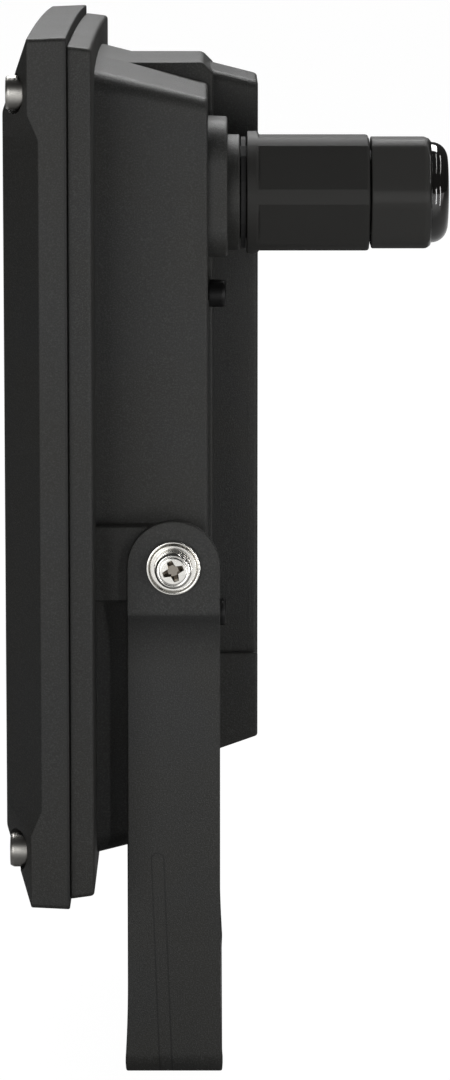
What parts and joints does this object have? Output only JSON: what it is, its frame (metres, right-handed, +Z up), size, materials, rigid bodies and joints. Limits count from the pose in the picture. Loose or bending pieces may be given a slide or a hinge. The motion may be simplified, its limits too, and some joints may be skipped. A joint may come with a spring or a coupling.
{
  "type": "led flood light",
  "caption": "Slim LED flood light: a cast head with a sloping front frame on a U-shaped steel bracket, with a cable gland behind.",
  "frame": {"origin": "middle of the underside of the bracket's base", "axes": "+Z up from the base, -Y towards the lit front, +X towards the side with the cable gland"},
  "size_m": [0.2, 0.1166, 0.2786],
  "materials": {
    "cast_coated": "die-cast aluminium, fine-textured charcoal powder coat",
    "bracket_coated": "steel strip, satin charcoal powder coat",
    "stainless": "plain stainless steel",
    "black_screw": "black coated steel",
    "nylon": "glossy black nylon",
    "rubber": "matt black rubber",
    "glass": "clear tempered glass",
    "lens": "clear moulded lens sheet",
    "inner_frame": "satin black plastic",
    "bare_aluminium": "plain rolled aluminium",
    "led_board": "white coated aluminium-core board",
    "driver_case": "light grey case",
    "terminal_block": "white plastic",
    "brown_wire": "brown insulation",
    "blue_wire": "blue insulation",
    "green_wire": "green insulation",
    "red_wire": "red insulation",
    "black_wire": "black insulation"
  },
  "bodies": {
    "bracket": {"bracket": "bracket_coated"},
    "head": {"bezel": "cast_coated", "bezel_screw_1": "stainless", "bezel_screw_2": "stainless", "bezel_screw_3": "stainless", "bezel_screw_4": "stainless", "bezel_seal": "rubber", "driver": "driver_case", "driver_screw_1": "stainless", "driver_screw_2": "stainless", "earth_lead": "green_wire", "earth_screw": "stainless", "gland_body": "nylon", "gland_clamp": "nylon", "gland_lock_nut": "nylon", "gland_o_ring": "rubber", "gland_seal": "rubber", "glass": "glass", "glass_gasket": "rubber", "heat_spreader": "bare_aluminium", "housing": "cast_coated", "inner_frame": "inner_frame", "led_board": "led_board", "led_minus_lead": "black_wire", "led_plus_lead": "red_wire", "lens_plate": "lens", "lens_screw_1": "stainless", "lens_screw_2": "stainless", "lens_screw_3": "stainless", "lens_screw_4": "stainless", "live_lead": "brown_wire", "neutral_lead": "blue_wire", "pivot_bolt_left": "stainless", "pivot_bolt_right": "stainless", "pivot_spring_washer_left": "stainless", "pivot_spring_washer_right": "stainless", "pivot_washer_left": "stainless", "pivot_washer_right": "stainless", "rear_cover": "cast_coated", "rear_cover_gasket": "rubber", "rear_cover_screw_1": "stainless", "rear_cover_screw_2": "stainless", "rear_cover_screw_3": "stainless", "rear_cover_screw_4": "stainless", "rear_screw_1": "black_screw", "rear_screw_2": "black_screw", "rear_screw_3": "black_screw", "rear_screw_4": "black_screw", "terminal_block": "terminal_block"},
    "gland_cap": {"gland_cap": "nylon"}
  },
  "joints": [
    {"name": "tilt", "type": "hinge", "parent": "bracket", "child": "head", "pos_m": [0, 0, 0.1377], "axis": [1, 0, 0], "range_deg": [-180, 5]},
    {"name": "gland_cap_turn", "type": "hinge", "parent": "head", "child": "gland_cap", "pos_m": [0.043, 0.0625, 0.2337], "axis": [0, 1, 0], "continuous": true}
  ]
}
